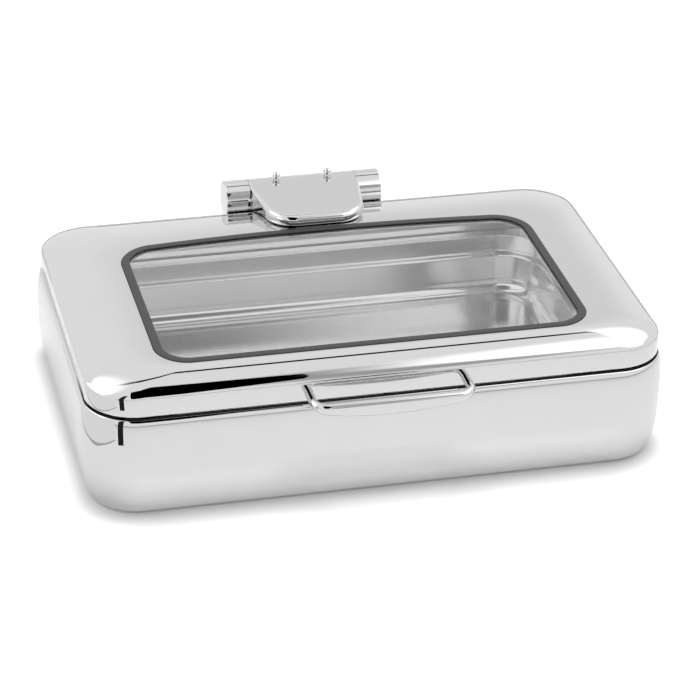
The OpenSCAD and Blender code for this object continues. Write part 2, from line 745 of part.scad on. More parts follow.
module hinge_tongue() {
    color(polished) difference() {
        union() {
            difference() {
                tongue_body();
                tongue_hollow();
            }
            on_axis(-knuckle_l / 2, knuckle_l, barrel_r);
        }
        on_axis(-knuckle_l, 2 * knuckle_l, bore_r);
        tongue_screw_places() cylinder(r = screw_r + run_fit, h = tongue_z - tongue_wall / 2);
        dome_places() translate([0, 0, -barrel_r]) cylinder(r = dome_shank_r + run_fit, h = 2 * barrel_r);
    }
}

// Plugs that carry the knuckle on the shaft; each has a counterbore for a spigot of the damper
module bearing_plugs() {
    color(bronze) at_sides() difference() {
        on_axis(knuckle_l / 2 - plug_l, plug_l, bore_r - run_fit / 2);
        on_axis(0, hinge_l, shaft_r + run_fit);
        on_axis(0, knuckle_l / 2 - plug_web, spigot_r + hole_fit);
    }
}

module damper_cartridge() {
    color(dark) difference() {
        union() {
            on_axis(-damper_l / 2, damper_l, spigot_r);
            on_axis(spigot_l - damper_l / 2, damper_l - 2 * spigot_l, bore_r - run_fit);
        }
        on_axis(-hinge_l, 2 * hinge_l, shaft_r + run_fit);
        dome_places() translate([0, 0, -dome_depth - seat_fit])
            cylinder(r = dome_shank_r + run_fit, h = 2 * dome_depth);
    }
}

// Ball-headed screws on top of the barrel that hold the damper
dome_depth = barrel_r - bore_r + dome_bite;

module dome_places() {
    at_sides() translate([dome_x, hinge_y - dome_y, barrel_top]) children();
}

module dome_screws() {
    color(polished) dome_places() {
        translate([0, 0, -dome_depth]) cylinder(r = dome_shank_r, h = dome_depth + dome_r);
        translate([0, 0, dome_r]) sphere(r = dome_r);
    }
}

// Inside the lid: a curved plate spreads the load of the tongue's screws
module backing_plate() {
    from = tongue_screw_y[0] - backing_edge;
    to = tongue_screw_y[1] + backing_edge;
    ys = [for (i = [0:seat_steps]) from + (to - from) * i / seat_steps];
    top = [for (y = ys) [y, dome_z(y, lid_wall) - curve_fit]];
    color(satin) difference() {
        along_x(concat(top, [for (i = [seat_steps:-1:0]) top[i] - [0, backing_t]]),
            2 * (tongue_screw_x + backing_edge));
        tongue_screw_places() cylinder(r = screw_r + hole_fit, h = tongue_z);
    }
}

module tongue_screws() {
    color(satin) for (x = [-tongue_screw_x, tongue_screw_x], y = tongue_screw_y) {
        z = dome_z(y + head_r, lid_wall) - curve_fit - backing_t - seat_fit;
        translate([x, y, z - head_h]) cylinder(r = head_r, h = head_h);
        translate([x, y, z - head_h / 2]) cylinder(r = screw_r, h = dome_z(y, 0) + screw_bite - z + head_h / 2);
    }
}

base_shell();
induction_plate();
support_frame();
lid_bumpers();
food_pan();
lid_shell();
window_gasket();
glass_pane();
window_keeper();
keeper_studs();
keeper_nuts();
handle();
handle_screws();
handle_washers();
hinge_bracket();
bracket_studs();
bracket_nuts();
hinge_shaft();
friction_ring(-1);  // friction_ring_left
friction_ring(1);  // friction_ring_right
end_cap(-1);  // end_cap_left
end_cap(1);  // end_cap_right
disc_springs();
lock_nuts();
hinge_tongue();
bearing_plugs();
damper_cartridge();
dome_screws();
backing_plate();
tongue_screws();
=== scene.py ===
import math

import bmesh
import bpy
from mathutils import Matrix, Vector


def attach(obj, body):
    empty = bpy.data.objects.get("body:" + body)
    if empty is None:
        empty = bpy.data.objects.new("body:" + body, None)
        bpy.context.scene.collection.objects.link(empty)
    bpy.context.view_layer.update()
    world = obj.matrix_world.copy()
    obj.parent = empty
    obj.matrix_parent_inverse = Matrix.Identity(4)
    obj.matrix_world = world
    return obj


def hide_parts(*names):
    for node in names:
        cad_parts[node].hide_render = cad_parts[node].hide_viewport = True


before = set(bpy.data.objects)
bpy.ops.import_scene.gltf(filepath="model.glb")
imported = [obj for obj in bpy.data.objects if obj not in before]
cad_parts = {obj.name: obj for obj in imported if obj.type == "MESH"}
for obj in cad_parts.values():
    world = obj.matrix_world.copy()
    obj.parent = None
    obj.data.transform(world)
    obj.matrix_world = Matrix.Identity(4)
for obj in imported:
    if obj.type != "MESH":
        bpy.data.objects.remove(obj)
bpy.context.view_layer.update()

# Sizes of the dish in metres, as in the part's source
BODY_W, BODY_D, CORNER_R = 0.580, 0.373, 0.050
SHELL_TOP, FOOT_Z = 0.1068, 0.0015
BULGE, FOOT_IN, BELLY_H, SHOULDER_H, HEM_W = 0.0051, 0.0114, 0.056, 0.030, 0.008
BASE_WALL, PAN_WALL, LID_WALL = 0.0012, 0.0009, 0.001
PAN_W, PAN_D, PAN_R = 0.530, 0.325, 0.042
MOUTH_W, MOUTH_D, MOUTH_R = 0.505, 0.300, 0.050
RIM_Z, LEDGE_Z, PAN_FLOOR_Z = 0.0925, 0.0875, 0.0284
STEP_Z, STEP_W, STEP_FALL, PAN_TAPER, FLOOR_R = 0.0725, 0.0045, 0.002, 0.003, 0.015
LID_Z, BAND_Z, LID_TOP, DOME_N, LIP_W = 0.1096, 0.1276, 0.1466, 1.82, 0.009
WIN_W, WIN_Y0, WIN_Y1, WIN_RF, WIN_RR, WIN_BOW = 0.437, -0.1545, 0.098, 0.035, 0.040, 0.0078
WIN_SIDE = WIN_W / 2 - WIN_RR
COLLAR_H, GASKET_W, GASKET_Z, GASKET_TOP = 0.005, 0.0085, 0.1407, 0.1473
HINGE_Y, HINGE_Z, BARREL_R, SHAFT_R = 0.196, 0.1435, 0.0195, 0.00504
HINGE_X, CAP_X, SLEEVE_X, RING_X, KNUCKLE_X = 0.085, 0.0764, 0.0658, 0.0587, 0.05845
POCKET_R, POCKET_X, POCKET_SIDE = 0.0206, 0.0877, 0.0022
TONGUE_Y, TONGUE_Z, TONGUE_W, NOSE_R = 0.106, 0.1601, 0.107, 0.030
EDGE_R, EDGE_REAR, FOOT_R = 0.006, 0.002, 0.006
HANDLE_X, HANDLE_Y, HANDLE_Z, ROD_R, BEND_R = 0.07825, -0.215, 0.1161, 0.0045, 0.013
PLATE_Y, PLATE_T, PLATE_Z, BAR_H = 0.1917, 0.003, 0.046, 0.030
NUT_X, NUT_LOW_Z, NUT_HIGH_Z, NUT_R, NUT_H, NUT_DOME_R = 0.060, 0.053, 0.069, 0.0046, 0.004, 0.0039
SCREW_X, SCREW_FORWARD, BALL_R = 0.028, 0.002, 0.0042

# The grip's bow, and where the tongue ends in its barrel
GRIP_BOW, GRIP_BOW_X, BAR_CUTS = 0.0085, 0.082, 12
TONGUE_REAR = HINGE_Y - 0.004

# Hair gap between neighbours and broken edge of turned rings, in metres
HAIR, EDGE_BREAK = 0.0001, 0.00012

# How close counts as the same place, in metres, and the angle from which an edge is sharp, in radians
NEARBY, NEAR, SAME, MERGE = 1e-4, 1e-5, 1e-6, 2e-6
SHARP = 1


# Hand tools

def pick_nothing():
    if bpy.context.mode != "OBJECT":
        leave_edit()
    bpy.ops.object.select_all(action="DESELECT")


def pick_only(first, *others):
    """Selects whole pieces, the first of them active."""
    pick_nothing()
    for piece in (first, *others):
        piece.select_set(True)
    bpy.context.view_layer.objects.active = first


def leave_edit():
    bpy.ops.object.mode_set(mode="OBJECT")


def begin(name, primitive, **sizes):
    """Adds a primitive with nothing else selected and opens it in edit mode."""
    pick_nothing()
    primitive(**sizes)
    piece = bpy.context.object
    piece.name = piece.data.name = name
    bpy.ops.object.mode_set(mode="EDIT")
    return piece


def pick(piece, kind, wanted):
    """Selects the vertices, edges or faces of the open piece for which wanted is true."""
    bpy.ops.mesh.select_mode(type=kind)
    bpy.ops.mesh.select_all(action="DESELECT")
    mesh = bmesh.from_edit_mesh(piece.data)
    for part in {"VERT": mesh.verts, "EDGE": mesh.edges, "FACE": mesh.faces}[kind]:
        part.select_set(bool(wanted(part)))
    mesh.select_flush_mode()
    bmesh.update_edit_mesh(piece.data)


def edge_at(z, near=NEAR):
    return lambda edge: all(abs(v.co.z - z) < near for v in edge.verts)


def is_sharp(edge):
    return edge.calc_face_angle(0) > SHARP


def extrude(*way):
    bpy.ops.mesh.extrude_region_move(TRANSFORM_OT_translate={"value": way})


def round_corners(radius, steps):
    """Rounds the picked corners of a flat face."""
    bpy.ops.mesh.bevel(offset=radius, offset_type="ABSOLUTE", segments=steps, affect="VERTICES",
        clamp_overlap=False)


def round_edges(radius, steps):
    bpy.ops.mesh.bevel(offset=radius, segments=steps, affect="EDGES")


def join(first, *others):
    """Makes pieces one mesh, left open with the vertices that meet merged."""
    pick_only(first, *others)
    bpy.ops.object.join()
    bpy.ops.object.mode_set(mode="EDIT")
    bpy.ops.mesh.select_all(action="SELECT")
    bpy.ops.mesh.remove_doubles(threshold=MERGE)
    return first


def face_out():
    """Merges the open piece's doubles and turns its faces outwards."""
    bpy.ops.mesh.select_all(action="SELECT")
    bpy.ops.mesh.remove_doubles(threshold=MERGE)
    bpy.ops.mesh.normals_make_consistent(inside=False)


def thicken(piece, wall):
    """Gives an open sheet its wall, grown inwards."""
    leave_edit()
    sheet = piece.modifiers.new("wall", "SOLIDIFY")
    sheet.thickness = wall
    sheet.offset = -1
    sheet.use_even_offset = True
    bpy.ops.object.modifier_apply(modifier=sheet.name)


def apply_place():
    bpy.ops.object.transform_apply(location=True, rotation=True, scale=True)


def weld_on(piece, other):
    """Makes two closed solids one."""
    pick_only(other)
    apply_place()
    pick_only(piece)
    weld = piece.modifiers.new("weld", "BOOLEAN")
    weld.operation = "UNION"
    weld.solver = "EXACT"
    weld.object = other
    bpy.ops.object.modifier_apply(modifier=weld.name)
    bpy.data.objects.remove(other)


def settle(piece, body, *nodes, slot, angle=32, crisp=False):
    """Puts the piece's place into its mesh, smooths it and hangs it on its body in place of its nodes."""
    pick_only(piece)
    apply_place()
    bpy.ops.object.shade_smooth_by_angle(angle=math.radians(angle))
    if crisp:
        flat = piece.modifiers.new("flat faces", "WEIGHTED_NORMAL")
        flat.keep_sharp = True
        bpy.ops.object.modifier_apply(modifier=flat.name)
    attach(piece, body)
    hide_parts(*nodes)
    return piece


def rounded_plate(name, width, depth, radius, z, steps=24):
    """A flat face with round corners: a plane whose corners are bevelled."""
    plate = begin(name, bpy.ops.mesh.primitive_plane_add, size=1)
    bpy.ops.transform.resize(value=(width, depth, 1))
    bpy.ops.transform.translate(value=(0, 0, z))
    round_corners(radius, steps)
    pick(plate, "FACE", lambda face: True)
    return plate


def follow(path):
    """Insets the picked face from point to point of a path of (set in, height) pairs."""
    least_inset = 1e-7
    for (in_0, z_0), (in_1, z_1) in zip(path, path[1:]):
        bpy.ops.mesh.inset(thickness=max(in_1 - in_0, least_inset), depth=z_1 - z_0, use_even_offset=True)


def quarter(steps):
    return [math.pi / 2 * i / steps for i in range(steps + 1)]


# Base

def make_base_shell():
    """The pressed vessel: belly below its widest line, shoulder and hem above it."""
    width, depth, radius = BODY_W + 2 * BULGE, BODY_D + 2 * BULGE, CORNER_R + BULGE
    wide_z = FOOT_Z + BELLY_H
    belly = rounded_plate("base_belly", width, depth, radius, wide_z)
    follow([(FOOT_IN * (1 - math.cos(a)), -BELLY_H * math.sin(a)) for a in quarter(28)])
    shell = rounded_plate("base_shell_polished", width, depth, radius, wide_z)
    wall_top = SHELL_TOP - SHOULDER_H - wide_z
    shoulder = [(BULGE * (1 - math.cos(a)), wall_top + SHOULDER_H * math.sin(a)) for a in quarter(20)]
    follow([(0, 0), *shoulder, (BULGE + HEM_W, wall_top + SHOULDER_H)])
    bpy.ops.mesh.delete(type="FACE")
    join(shell, belly)
    face_out()
    thicken(shell, BASE_WALL)
    return settle(shell, "base", "base_shell", slot="polished_steel")


# Food pan

def pan_path(edge):
    """The pan's inside from rim to floor, as (set in, height) pairs: mouth, step, wall and floor edge."""
    mouth_w, mouth_h, mouth_end, floor_lip = 0.0012, 0.0022, 0.0006, 0.0008
    step_top = ((0, 0.0018), (0.0003, 0.0009), (0.0011, 0))
    step_low = ((-0.0011, 0.0006), (-0.0003, -0.0003), (0.0001, -0.0016))
    wall_end = 0.0026
    rise = RIM_Z - STEP_Z
    floor_top = RIM_Z - PAN_FLOOR_Z - FLOOR_R
    floor_in = edge + STEP_W + PAN_TAPER
    mouth = [(mouth_w * math.sin(a), -mouth_h * (1 - math.cos(a))) for a in quarter(6)]
    mouth = [(x, z) for x, z in mouth if x < edge]
    wall = [(edge, mouth[-1][1] - mouth_end), (edge, wall_end - rise)]
    step = [(edge + x, z - rise) for x, z in step_top]
    step += [(edge + STEP_W + x, z - rise - STEP_FALL) for x, z in step_low]
    low_in, low_z = step[-1]
    low_wall = [(low_in + PAN_TAPER * share, low_z - (floor_top + low_z) * share) for share in (0.03, 0.97)]
    floor = [(floor_in + FLOOR_R * (1 - math.cos(a)), -floor_top - FLOOR_R * math.sin(a))
        for a in quarter(12)]
    return [*mouth, *wall, *step, *low_wall, *floor, (floor[-1][0] + floor_lip, floor[-1][1])]


def make_food_pan():
    """The full-size pan: flat rim with a turned-down lip, stacking step, sloped wall and round floor edge."""
    edge = 0.001
    pan = rounded_plate("food_pan_satin", MOUTH_W + 2 * edge, MOUTH_D + 2 * edge, MOUTH_R + edge, RIM_Z)
    follow(pan_path(edge))
    flange = rounded_plate("pan_flange", PAN_W - 2 * edge, PAN_D - 2 * edge, PAN_R - edge, RIM_Z)
    bpy.ops.mesh.delete(type="ONLY_FACE")
    join(pan, flange)
    pick(pan, "EDGE", lambda e: edge_at(RIM_Z)(e) and len(e.link_faces) < 2)
    bpy.ops.mesh.bridge_edge_loops()
    pick(pan, "EDGE", lambda e: edge_at(RIM_Z)(e) and len(e.link_faces) < 2)
    for a, b in zip(quarter(4), quarter(4)[1:]):
        extrude(0, 0, edge * (math.cos(b) - math.cos(a)))
        grow = 2 * edge * (math.sin(b) - math.sin(a))
        wide, deep = (size - 2 * edge * (1 - math.sin(a)) for size in (PAN_W, PAN_D))
        bpy.ops.transform.resize(value=((wide + grow) / wide, (deep + grow) / deep, 1),
            center_override=(0, 0, RIM_Z))
    extrude(0, 0, LEDGE_Z - RIM_Z + edge)
    face_out()
    pick(pan, "FACE", lambda face: face.normal.z > 0.9
        and face.calc_center_median().z < PAN_FLOOR_Z + NEARBY)
    if not any(face.select for face in bmesh.from_edit_mesh(pan.data).faces):
        bpy.ops.mesh.select_all(action="SELECT")
        bpy.ops.mesh.flip_normals()
    thicken(pan, PAN_WALL)
    return settle(pan, "pan", "food_pan", slot="satin_steel", crisp=True)


# Lid

def rear_places():
    """Places across the rear edge, closest at the ends of the hinge pocket."""
    edge = POCKET_X + POCKET_SIDE
    half = [POCKET_X * share for share in (0.14, 0.28, 0.43, 0.57, 0.71, 0.86, 0.97, 1)]
    half += [POCKET_X + POCKET_SIDE / 2, edge]
    half += [edge + (WIN_SIDE - edge) * share for share in (0.12, 0.3, 0.5, 0.75)]
    return sorted([-x for x in half] + [0] + half)


def bow(x):
    return WIN_BOW * (1 - (x / WIN_SIDE) ** 2)


def cut_edge(plate, y, places):
    """Cuts the straight rear edge and slides the cuts to their places."""
    shortest_side = 0.05
    pick(plate, "EDGE", lambda edge: all(abs(v.co.y - y) < SAME for v in edge.verts)
        and edge.calc_length() > shortest_side)
    bpy.ops.mesh.subdivide(number_cuts=len(places))
    pick(plate, "VERT", lambda v: False)
    mesh = bmesh.from_edit_mesh(plate.data)
    row = sorted((v for v in mesh.verts if abs(v.co.y - y) < SAME), key=lambda v: v.co.x)[1:-1]
    for v, x in zip(row, places):
        v.co.x = x
    bmesh.update_edit_mesh(plate.data)


def window_plate(name, grow, z, steps=24):
    """A flat face with the window's outline: round corners and a rear edge that bows out."""
    plate = begin(name, bpy.ops.mesh.primitive_plane_add, size=1)
    bpy.ops.transform.resize(value=(WIN_W + 2 * grow, WIN_Y1 - WIN_Y0 + 2 * grow, 1))
    bpy.ops.transform.translate(value=(0, (WIN_Y0 + WIN_Y1) / 2, z))
    for rear, radius in ((False, WIN_RF), (True, WIN_RR)):
        pick(plate, "VERT", lambda v: (v.co.y > 0) == rear and abs(v.co.x) > WIN_W / 2 + grow - SAME
            and min(abs(v.co.y - WIN_Y0 + grow), abs(v.co.y - WIN_Y1 - grow)) < SAME)
        round_corners(radius + grow, steps)
    cut_edge(plate, WIN_Y1 + grow, rear_places())
    for v in bmesh.from_edit_mesh(plate.data).verts:
        if abs(v.co.y - WIN_Y1 - grow) < SAME and abs(v.co.x) < WIN_SIDE:
            v.co.y += bow(v.co.x)
    bmesh.update_edit_mesh(plate.data)
    pick(plate, "FACE", lambda face: True)
    return plate


def spread(x):
    """Places on the rim spread out beyond the hinge pocket to reach the rim's own corners."""
    edge, rim = POCKET_X + POCKET_SIDE, BODY_W / 2 - CORNER_R
    if abs(x) <= edge:
        return x
    return math.copysign(edge + (abs(x) - edge) * (rim - edge) / (WIN_SIDE - edge), x)


def dome_height(share):
    return BAND_Z + (LID_TOP - BAND_Z) * max(0.0, 1 - max(0.0, share) ** DOME_N) ** (1 / DOME_N)


def bridge_dome(lid):
    """Bridges the flat rim at height 0 to the window at height 1, with the closest rows at the rim."""
    rows = 28
    pick(lid, "EDGE", lambda edge: True)
    bpy.ops.mesh.bridge_edge_loops(number_cuts=rows - 1, interpolation="LINEAR")
    for row, cuts in ((1, 9), (2, 4), (3, 3), (4, 2), (6, 1), (9, 1)):
        low, high = (row - 1) / rows - NEARBY, row / rows + NEARBY
        pick(lid, "EDGE", lambda edge: abs(edge.verts[0].co.z - edge.verts[1].co.z) > NEARBY
            and all(low < v.co.z < high for v in edge.verts))
        bpy.ops.mesh.subdivide_edgering(number_cuts=cuts, interpolation="LINEAR")


def raise_dome(lid):
    """Lifts the bridged rows to the dome and presses the hinge pocket into its rear."""
    mesh = bmesh.from_edit_mesh(lid.data)
    for v in mesh.verts:
        v.co.z = dome_height(1 - v.co.z)
        off = Vector((v.co.y - HINGE_Y, v.co.z - HINGE_Z))
        if abs(v.co.x) < POCKET_X + POCKET_SIDE / 4 and off.length < POCKET_R:
            v.co.y, v.co.z = Vector((HINGE_Y, HINGE_Z)) + off * POCKET_R / off.length
    bmesh.update_edit_mesh(lid.data)


def level_rim(lid, z):
    """Brings the picked rim to one height, below the hinge pocket's dip."""
    for v in bmesh.from_edit_mesh(lid.data).verts:
        if v.select:
            v.co.z = z
            if v.co.y > BODY_D / 2 - CORNER_R and abs(v.co.x) < BODY_W / 2 - CORNER_R + SAME:
                v.co.y = BODY_D / 2
    bmesh.update_edit_mesh(lid.data)


def beside_upright(edge):
    """True for an edge with an upright face, as at the top of the collar and the foot of the band."""
    return any(abs(face.normal.z) < 0.1 for face in edge.link_faces)


def make_lid_shell():
    """The domed lid: bridged from rim to window, with the hinge pocket, collar, upright band and lip."""
    band_h, upper_share, edge_r = BAND_Z - LID_Z, 0.3, 0.0009
    lid = rounded_plate("lid_shell_polished", BODY_W, BODY_D, CORNER_R, 0)
    cut_edge(lid, BODY_D / 2, [spread(x) for x in rear_places()])
    pick(lid, "FACE", lambda face: True)
    bpy.ops.mesh.delete(type="ONLY_FACE")
    window = window_plate("lid_window", 0, 1)
    bpy.ops.mesh.delete(type="ONLY_FACE")
    join(lid, window)
    bridge_dome(lid)
    raise_dome(lid)
    pick(lid, "EDGE", lambda edge: len(edge.link_faces) == 1
        and min(v.co.z for v in edge.verts) < BAND_Z + NEARBY)
    extrude(0, 0, -upper_share * band_h)
    level_rim(lid, BAND_Z - upper_share * band_h)
    extrude(0, 0, (upper_share - 1) * band_h)
    bpy.ops.mesh.edge_face_add()
    bpy.ops.mesh.inset(thickness=LIP_W, use_even_offset=True)
    bpy.ops.mesh.delete(type="FACE")
    pick(lid, "EDGE", lambda edge: len(edge.link_faces) == 1 and edge_at(LID_TOP, NEARBY)(edge))
    extrude(0, 0, -COLLAR_H)
    pick(lid, "EDGE", lambda edge: len(edge.link_faces) == 2 and beside_upright(edge)
        and (edge_at(LID_TOP)(edge) or edge_at(LID_Z)(edge)))
    round_edges(edge_r, 3)
    face_out()
    thicken(lid, LID_WALL)
    return settle(lid, "lid", "lid_shell", slot="polished_steel", angle=38)


# Window

def gasket_ring(name, grow, width, z_0, z_1):
    """A flat ring that follows the window's outline."""
    ring = window_plate(name, grow, z_0)
    bpy.ops.mesh.inset(thickness=width, use_even_offset=True)
    bpy.ops.mesh.delete(type="FACE")
    bpy.ops.mesh.select_all(action="SELECT")
    extrude(0, 0, z_1 - z_0)
    face_out()
    return ring


def make_window_gasket():
    """The soft band round the glass: a crowned lip over it, a web at its edge, a lip and a hook under it."""
    glass_z, glass_top, crown_r = 0.1419, 0.1461, 0.0006
    web_w, hook_out, hook_w = 0.0033, 0.003, 0.004
    band = gasket_ring("window_gasket_soft", -HAIR, GASKET_W - HAIR, glass_top, GASKET_TOP)
    pick(band, "EDGE", lambda edge: edge_at(GASKET_TOP)(edge) and is_sharp(edge))
    round_edges(crown_r, 4)
    web = gasket_ring("gasket web", -HAIR, web_w, glass_z, glass_top)
    lip = gasket_ring("gasket lip", 0, GASKET_W, GASKET_Z, glass_z)
    hook = gasket_ring("gasket hook", hook_out, hook_w, GASKET_Z, LID_TOP - COLLAR_H - HAIR)
    pick_only(band, web, lip, hook)
    bpy.ops.object.join()
    return settle(band, "lid", "window_gasket", slot="gasket_rubber", angle=50)


# Handle

def grip_bow(at):
    """How far the grip's lower front is drawn down: most in the middle, not behind it or on the legs."""
    below_front = math.atan2(HANDLE_Z - at.z, HANDLE_Y - at.y)
    front_share = math.sin(1.5 * min(2 * math.pi / 3, max(0, below_front)))
    leg_share = min(1, max(0, (HANDLE_Y + BEND_R - at.y) / (BEND_R - ROD_R)))
    return GRIP_BOW * max(0, 1 - (at.x / GRIP_BOW_X) ** 2) * front_share * leg_share


def make_handle():
    """One rod: a leg, a bend and half the bar, mirrored, its grip drawn down to a bowed lower edge."""
    rod = begin("handle_rod", bpy.ops.mesh.primitive_circle_add, vertices=40, radius=ROD_R - SAME,
        fill_type="NGON", location=(0, 0, 0))
    bpy.ops.transform.rotate(value=math.pi / 2, orient_axis="X", center_override=(0, 0, 0))
    bpy.ops.transform.translate(value=(HANDLE_X, -BODY_D / 2 - HAIR, HANDLE_Z))
    extrude(0, HANDLE_Y + BEND_R + BODY_D / 2 + HAIR, 0)
    bpy.ops.mesh.spin(steps=18, angle=math.pi / 2, center=(HANDLE_X - BEND_R, HANDLE_Y + BEND_R, HANDLE_Z),
        axis=(0, 0, 1))
    for _ in range(BAR_CUTS):
        extrude((BEND_R - HANDLE_X) / BAR_CUTS, 0, 0)
    bpy.ops.mesh.delete(type="FACE")
    leave_edit()
    half = rod.modifiers.new("other half", "MIRROR")
    half.use_axis[0] = True
    half.merge_threshold = NEAR
    bpy.ops.object.modifier_apply(modifier=half.name)
    bpy.ops.object.mode_set(mode="EDIT")
    for v in bmesh.from_edit_mesh(rod.data).verts:
        v.co.z -= grip_bow(v.co)
    bmesh.update_edit_mesh(rod.data)
    face_out()
    return settle(rod, "lid", "handle", slot="polished_steel", angle=40)


# Hinge

def barrel_part(name, x_0, x_1):
    """A plain cylinder on the hinge axis, its own Z along the axis."""
    return begin(name, bpy.ops.mesh.primitive_cylinder_add, vertices=96, radius=BARREL_R, depth=x_1 - x_0,
        rotation=(0, math.pi / 2, 0), location=((x_0 + x_1) / 2, HINGE_Y, HINGE_Z))


def on_barrel(edge):
    """True for a sharp edge on the outside of a part of the barrel."""
    return edge.verts[0].co.xy.length > BARREL_R - NEAR and is_sharp(edge)


def hinge_ring(name, x_0, x_1, bore=SHAFT_R):
    """A turned ring on the hinge axis: a cylinder with a bore and broken edges."""
    ring = barrel_part(name, x_0, x_1)
    pick(ring, "FACE", lambda face: len(face.verts) > 4)
    bpy.ops.mesh.inset(thickness=BARREL_R - bore, use_even_offset=True)
    bpy.ops.mesh.bridge_edge_loops()
    pick(ring, "EDGE", on_barrel)
    round_edges(EDGE_BREAK, 4)
    face_out()
    leave_edit()
    return ring


def make_friction_rings():
    rings = []
    for side, x in (("left", -SLEEVE_X), ("right", RING_X)):
        ring = hinge_ring("friction_ring_%s_polished" % side, x, x + SLEEVE_X - RING_X)
        rings.append(settle(ring, "base", "friction_ring_" + side, slot="polished_steel", crisp=True))
    return rings


def make_end_caps():
    """Turned cups with a soft outer edge, hollow over the lock nuts."""
    cup_wall, cup_floor, outer_r = 0.003, 0.002, 0.0014
    caps = []
    for side, way in (("left", -1), ("right", 1)):
        cap = barrel_part("end_cap_%s_polished" % side, *sorted((way * CAP_X, way * HINGE_X)))
        pick(cap, "FACE", lambda face: face.normal.z * way < -0.5)
        bpy.ops.mesh.inset(thickness=cup_wall, use_even_offset=True)
        extrude(way * (HINGE_X - CAP_X - cup_floor), 0, 0)
        pick(cap, "EDGE", lambda edge: on_barrel(edge) and edge.verts[0].co.z * way > 0)
        round_edges(outer_r, 6)
        pick(cap, "EDGE", on_barrel)
        round_edges(EDGE_BREAK, 3)
        face_out()
        leave_edit()
        caps.append(settle(cap, "base", "end_cap_" + side, slot="polished_steel", crisp=True))
    return caps


def make_hinge_bracket():
    """The plate on the base's rear, its arms drawn up from the cross bar and each joined to a sleeve."""
    barrel_gap, edge_r = 0.003, 0.0004
    arm_z = HINGE_Z - BARREL_R - barrel_gap
    bracket = begin("hinge_bracket_polished", bpy.ops.mesh.primitive_cube_add, size=1)
    bpy.ops.transform.resize(value=(2 * CAP_X, PLATE_T, BAR_H))
    bpy.ops.transform.translate(value=(0, PLATE_Y + PLATE_T / 2, PLATE_Z + BAR_H / 2))
    for x in (-SLEEVE_X, -RING_X, RING_X, SLEEVE_X):
        bpy.ops.mesh.select_all(action="SELECT")
        bpy.ops.mesh.bisect(plane_co=(x, 0, 0), plane_no=(1, 0, 0))
    for inner, z_0, z_1 in ((RING_X, PLATE_Z + BAR_H, arm_z), (SLEEVE_X, arm_z, HINGE_Z)):
        pick(bracket, "FACE", lambda face: face.normal.z > 0.9 and abs(face.calc_center_median().x) > inner
            and abs(face.calc_center_median().z - z_0) < NEAR)
        extrude(0, 0, z_1 - z_0)
    pick(bracket, "EDGE", is_sharp)
    round_edges(edge_r, 2)
    face_out()
    leave_edit()
    for side, x in (("left", -CAP_X), ("right", SLEEVE_X)):
        weld_on(bracket, hinge_ring(side + " sleeve", x, x + CAP_X - SLEEVE_X))
    return settle(bracket, "base", "hinge_bracket", slot="polished_steel", crisp=True)


def nose_share(y):
    """Is 1 on the tongue's round nose and falls to 0 at its barrel."""
    start = TONGUE_Y + NOSE_R
    return 1 - min(1, max(0, (y - start) / (HINGE_Y - BARREL_R - start)))


def tongue_top(y):
    """The tongue's sloping top, which ends a hair below the top of its barrel."""
    rear_z = HINGE_Z + BARREL_R - HAIR / 2
    return TONGUE_Z + (rear_z - TONGUE_Z) * (y - TONGUE_Y) / (HINGE_Y - TONGUE_Y)


def lid_curve(y):
    """Height of the lid under the tongue."""
    front = WIN_Y1 + WIN_BOW
    return dome_height(min(1, (y - front) / (BODY_D / 2 - front)))


def inward_way(plan, i):
    """How far a plan point moves for each metre of inset, on the tongue's plan."""
    before, at, after = plan[i - 1], plan[i], plan[(i + 1) % len(plan)]
    if at.y > TONGUE_REAR - HAIR:
        return Vector((-math.copysign(1, at.x), 0, 0))
    n_0 = Vector((-(at - before).y, (at - before).x, 0)).normalized()
    n_1 = Vector((-(after - at).y, (after - at).x, 0)).normalized()
    return (n_0 + n_1) / (1 + n_0.dot(n_1))


def tongue_edge(plan, inward, a):
    """One step of the rounded top edge, which is smaller towards the barrel."""
    ring = []
    for p, n in zip(plan, inward):
        e = EDGE_REAR + (EDGE_R - EDGE_REAR) * nose_share(p.y)
        at = p + n * e * (1 - math.cos(a))
        ring.append(Vector((at.x, at.y, tongue_top(at.y) - e * (1 - math.sin(a)))))
    return ring


def tongue_foot(plan, inward, a):
    """One step of the rounded foot, which follows the lid and stays above the hinge pocket at the rear."""
    least_r, lid_gap, pocket_drop, pocket_front = 0.0005, 0.0004, 0.009, 0.005
    ring = []
    for p, n in zip(plan, inward):
        f = max(least_r, FOOT_R * nose_share(p.y))
        at = p + n * f * (1 - math.cos(a))
        seat = lid_curve(p.y)
        if p.y > HINGE_Y - BARREL_R - pocket_front:
            seat = max(seat, HINGE_Z - pocket_drop)
        ring.append(Vector((at.x, at.y, seat + lid_gap + f * (1 - math.sin(a)))))
    return ring


def place_ring(piece, before, after):
    """Moves the picked face's corners from one ring of points to the next."""
    face = next(f for f in bmesh.from_edit_mesh(piece.data).faces if f.select)
    for v in face.verts:
        v.co = after[min(range(len(before)), key=lambda i: (before[i] - v.co).length_squared)]
    bmesh.update_edit_mesh(piece.data)


